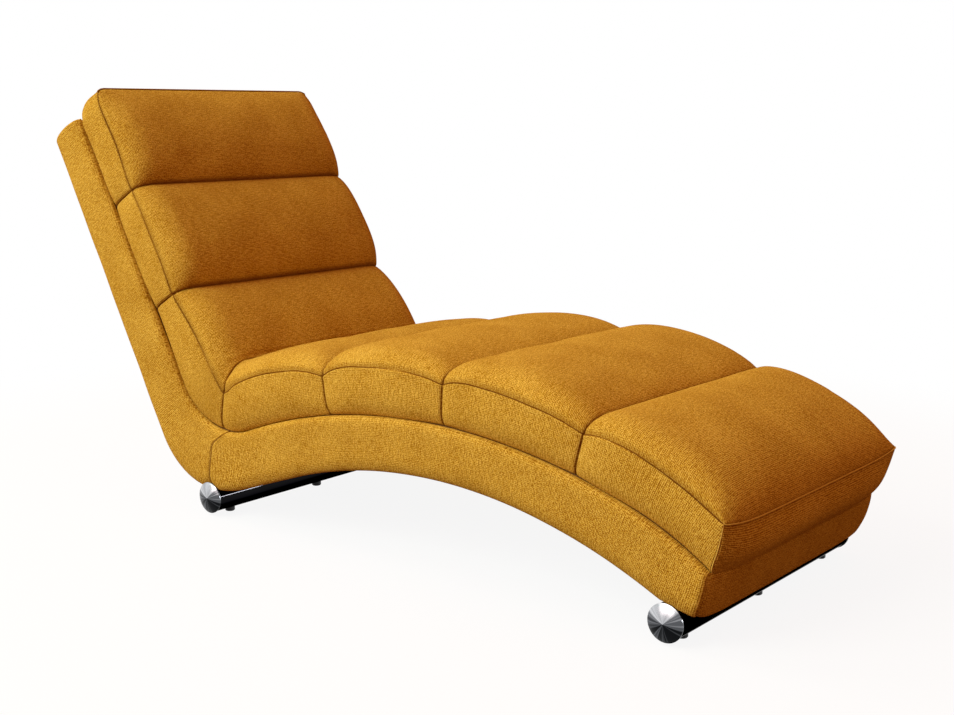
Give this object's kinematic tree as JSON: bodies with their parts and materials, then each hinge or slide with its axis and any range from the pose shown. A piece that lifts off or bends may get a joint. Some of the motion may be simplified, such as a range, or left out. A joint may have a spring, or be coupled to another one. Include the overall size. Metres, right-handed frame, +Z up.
{
  "type": "chaise longue",
  "caption": "Upholstered reclining lounge chair with a curved base, channelled back and seat cushions, and two cross tubes with domed end caps and rubber feet.",
  "frame": {"origin": "on the floor under the middle of the overall length and width", "axes": "+X from the head to the foot, +Y to the sitter's left, +Z up"},
  "size_m": [1.6876, 0.62, 0.8694],
  "materials": {
    "mustard_fabric": "matte",
    "deck_lining": "matte",
    "dust_cover_fabric": "matte",
    "webbing": "matte",
    "plywood": "matte",
    "timber": "matte",
    "black_lacquer": "gloss",
    "polished_chrome": "polished",
    "zinc_steel": "satin",
    "black_rubber": "matte"
  },
  "bodies": {
    "root": {"back_cushion_1": "mustard_fabric", "back_cushion_2": "mustard_fabric", "back_cushion_3": "mustard_fabric", "back_rail_lower": "timber", "back_rail_upper": "timber", "back_strap_1": "webbing", "back_strap_2": "webbing", "back_strap_3": "webbing", "back_strap_4": "webbing", "deck_pad": "deck_lining", "dust_cover": "dust_cover_fabric", "foot_board": "plywood", "foot_end_pad": "mustard_fabric", "front_bolt_left_1": "zinc_steel", "front_bolt_left_2": "zinc_steel", "front_bolt_right_1": "zinc_steel", "front_bolt_right_2": "zinc_steel", "front_cap_left": "polished_chrome", "front_cap_right": "polished_chrome", "front_rubber_foot_left": "black_rubber", "front_rubber_foot_middle": "black_rubber", "front_rubber_foot_right": "black_rubber", "front_saddle_left": "zinc_steel", "front_saddle_right": "zinc_steel", "front_tube": "black_lacquer", "front_tube_rail": "timber", "head_board": "plywood", "head_end_pad": "mustard_fabric", "rear_bolt_left_1": "zinc_steel", "rear_bolt_left_2": "zinc_steel", "rear_bolt_right_1": "zinc_steel", "rear_bolt_right_2": "zinc_steel", "rear_cap_left": "polished_chrome", "rear_cap_right": "polished_chrome", "rear_pad": "mustard_fabric", "rear_rubber_foot_left": "black_rubber", "rear_rubber_foot_middle": "black_rubber", "rear_rubber_foot_right": "black_rubber", "rear_saddle_left": "zinc_steel", "rear_saddle_right": "zinc_steel", "rear_tube": "black_lacquer", "rear_tube_rail": "timber", "seat_cushion_1": "mustard_fabric", "seat_cushion_2": "mustard_fabric", "seat_cushion_3": "mustard_fabric", "seat_cushion_4": "mustard_fabric", "seat_rail": "timber", "seat_strap_1": "webbing", "seat_strap_2": "webbing", "seat_strap_3": "webbing", "seat_strap_4": "webbing", "seat_strap_5": "webbing", "seat_strap_6": "webbing", "side_pad_left": "mustard_fabric", "side_pad_right": "mustard_fabric", "side_panel_left": "plywood", "side_panel_right": "plywood"}
  },
  "joints": []
}
